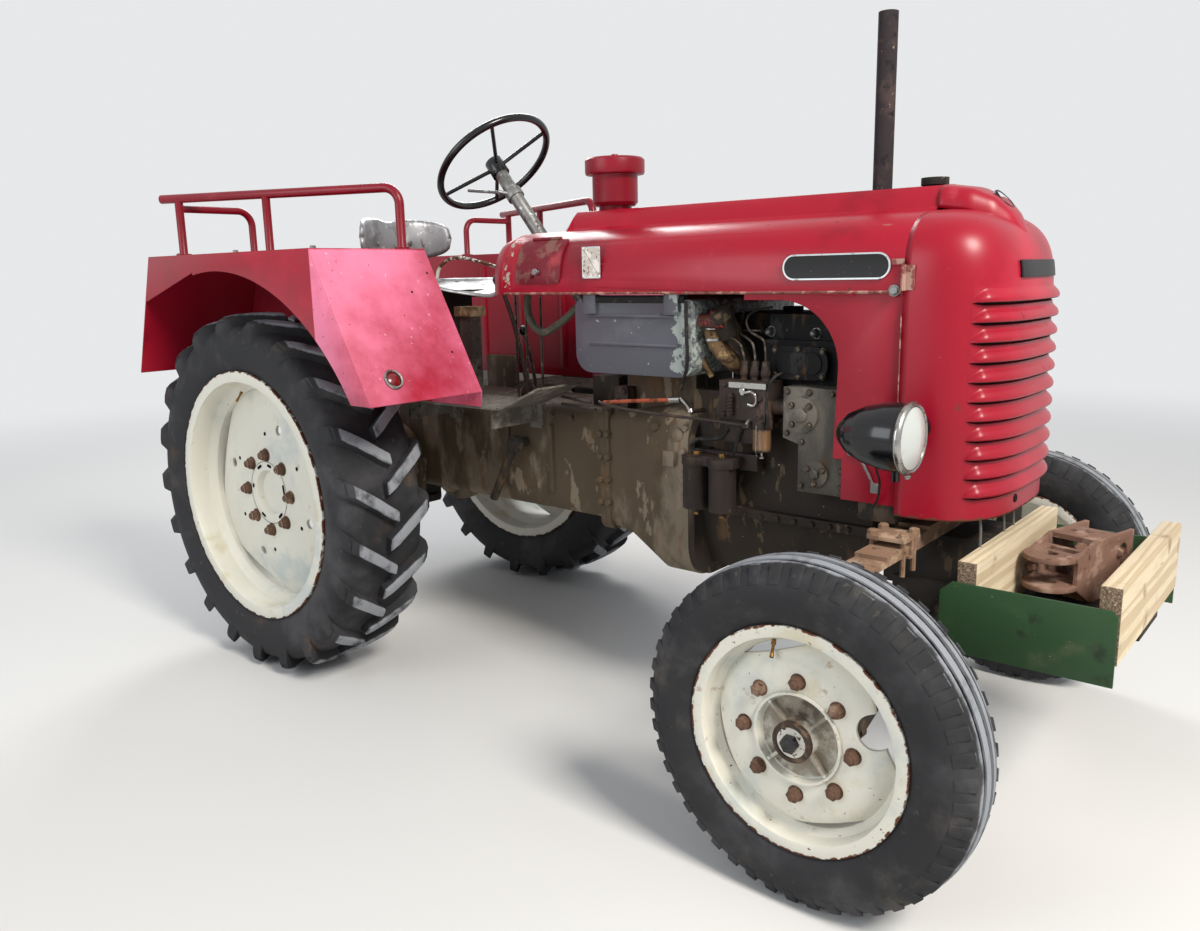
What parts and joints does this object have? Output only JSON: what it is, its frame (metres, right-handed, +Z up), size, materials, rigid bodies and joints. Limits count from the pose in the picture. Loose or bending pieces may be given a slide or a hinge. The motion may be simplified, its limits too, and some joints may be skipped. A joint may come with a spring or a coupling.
{
  "type": "farm tractor",
  "caption": "Old red farm tractor with a louvred nose, chevron rear tyres, flat-topped fenders with rails and a plank ballast frame.",
  "frame": {"origin": "on the floor, at the middle of the tractor's length and width", "axes": "+X forward, +Y to the tractor's left, +Z up"},
  "size_m": [2.85, 1.484, 1.752],
  "materials": {
    "gear_iron": "cast housings under flaking grey-brown paint and oily dust",
    "engine_iron": "dark cast iron with grease and dust",
    "case_alloy": "grey cast cover with flaking paint",
    "pump_iron": "dark painted pump and filters with rust",
    "exhaust_rust": "dark heat-rusted tube",
    "radiator_black": "matt black paint",
    "axle_iron": "dark greasy forgings",
    "spring_steel": "rusty spring leaves",
    "hub_paint": "dirty pale paint with grease",
    "rim_cream": "cream paint with rust specks",
    "tyre_black": "weathered grey-black rubber",
    "red_paint": "crimson paint, faded and chipped",
    "rail_paint": "faded crimson paint, rust at the bends",
    "hatch_paint": "dull brown-red paint",
    "tank_paint": "blue-grey paint that peels at the edge",
    "lamp_black": "black enamel with a bright rim",
    "lamp_glass": "ribbed clear lens",
    "zinc_grey": "dull galvanised steel",
    "wheel_black": "worn black rim",
    "seat_iron": "dark painted steel",
    "plate_steel": "worn chequered steel",
    "jaw_rust": "rusty brown steel",
    "pine": "sawn pine with dark end grain",
    "green_paint": "dark green paint"
  },
  "bodies": {
    "frame": {"gearbox_housing": "gear_iron", "axle_trumpets": "gear_iron", "clutch_housing": "gear_iron", "engine_block": "engine_iron", "cylinder_head": "engine_iron", "timing_case": "case_alloy", "injection_pump": "pump_iron", "fuel_filters": "pump_iron", "exhaust_pipe": "exhaust_rust", "air_cleaner": "red_paint", "radiator": "radiator_black", "front_bolster": "axle_iron", "leaf_spring": "spring_steel", "lower_arms": "axle_iron", "fender_right": "red_paint", "fender_left": "red_paint", "fender_rails": "rail_paint", "bonnet": "red_paint", "cowl": "red_paint", "grille_mask": "red_paint", "side_panels": "red_paint", "fuel_tank": "tank_paint", "headlamp_bodies": "lamp_black", "headlamp_lenses": "lamp_glass", "steering_gear": "axle_iron", "steering_column": "zinc_grey", "seat_stand": "seat_iron", "seat_pan": "zinc_grey", "footplates": "plate_steel", "pedals": "axle_iron", "towing_jaw": "jaw_rust", "planks": "pine", "ballast_plates": "green_paint", "rear_drawbar": "axle_iron"},
    "knuckle_left": {"knuckle_left": "axle_iron"},
    "knuckle_right": {"knuckle_right": "axle_iron"},
    "tie_rod": {"tie_rod": "axle_iron"},
    "pitman_arm": {"pitman_arm": "axle_iron"},
    "drag_link": {"drag_link": "axle_iron"},
    "steering_wheel": {"steering_wheel": "wheel_black"},
    "front_wheel_left": {"front_hub_left": "hub_paint", "front_rim_left": "rim_cream", "front_tyre_left": "tyre_black"},
    "front_wheel_right": {"front_hub_right": "hub_paint", "front_rim_right": "rim_cream", "front_tyre_right": "tyre_black"},
    "rear_wheel_left": {"rear_rim_left": "rim_cream", "rear_tyre_left": "tyre_black"},
    "rear_wheel_right": {"rear_rim_right": "rim_cream", "rear_tyre_right": "tyre_black"},
    "bonnet_hatch": {"bonnet_hatch": "hatch_paint"}
  },
  "joints": [
    {"name": "steer_left", "type": "hinge", "parent": "frame", "child": "knuckle_left", "pos_m": [0.985, 0.5, 0.34], "axis": [0, 0, 1], "range_deg": [-32, 32]},
    {"name": "steer_right", "type": "hinge", "parent": "frame", "child": "knuckle_right", "pos_m": [0.985, -0.5, 0.34], "axis": [0, 0, 1], "range_deg": [-32, 32]},
    {"name": "tie_rod_pivot", "type": "hinge", "parent": "knuckle_left", "child": "tie_rod", "pos_m": [0.855, 0.5, 0.3233], "axis": [0, 0, 1], "range_deg": [-32, 32]},
    {"name": "pitman_swing", "type": "hinge", "parent": "frame", "child": "pitman_arm", "pos_m": [0.015, 0.1733, 0.77], "axis": [0, 1, 0], "range_deg": [-21.76, 21.76]},
    {"name": "drag_link_pivot", "type": "hinge", "parent": "pitman_arm", "child": "drag_link", "pos_m": [0.015, 0.1946, 0.57], "axis": [0, 1, 0], "range_deg": [-21.76, 21.76]},
    {"name": "steering_wheel_turn", "type": "hinge", "parent": "frame", "child": "steering_wheel", "pos_m": [-0.468, 0, 1.535], "axis": [-0.6428, 0, 0.766], "range_deg": [-320, 320]},
    {"name": "front_wheel_left_spin", "type": "hinge", "parent": "knuckle_left", "child": "front_wheel_left", "pos_m": [0.985, 0.656, 0.34], "axis": [0, 1, 0], "continuous": true},
    {"name": "front_wheel_right_spin", "type": "hinge", "parent": "knuckle_right", "child": "front_wheel_right", "pos_m": [0.985, -0.656, 0.34], "axis": [0, 1, 0], "continuous": true},
    {"name": "rear_wheel_left_spin", "type": "hinge", "parent": "frame", "child": "rear_wheel_left", "pos_m": [-0.875, 0.572, 0.55], "axis": [0, 1, 0], "continuous": true},
    {"name": "rear_wheel_right_spin", "type": "hinge", "parent": "frame", "child": "rear_wheel_right", "pos_m": [-0.875, -0.572, 0.55], "axis": [0, 1, 0], "continuous": true},
    {"name": "hatch_swing", "type": "hinge", "parent": "frame", "child": "bonnet_hatch", "pos_m": [-0.05, -0.2189, 1.28758], "axis": [-1, 0, 0], "range_deg": [0, 100]}
  ],
  "couplings": [
    {"joint": "steer_right", "follows": "steer_left", "ratio": 1},
    {"joint": "tie_rod_pivot", "follows": "steer_left", "ratio": -1},
    {"joint": "pitman_swing", "follows": "steer_left", "ratio": -0.68},
    {"joint": "drag_link_pivot", "follows": "steer_left", "ratio": 0.68},
    {"joint": "steering_wheel_turn", "follows": "steer_left", "ratio": 10}
  ]
}
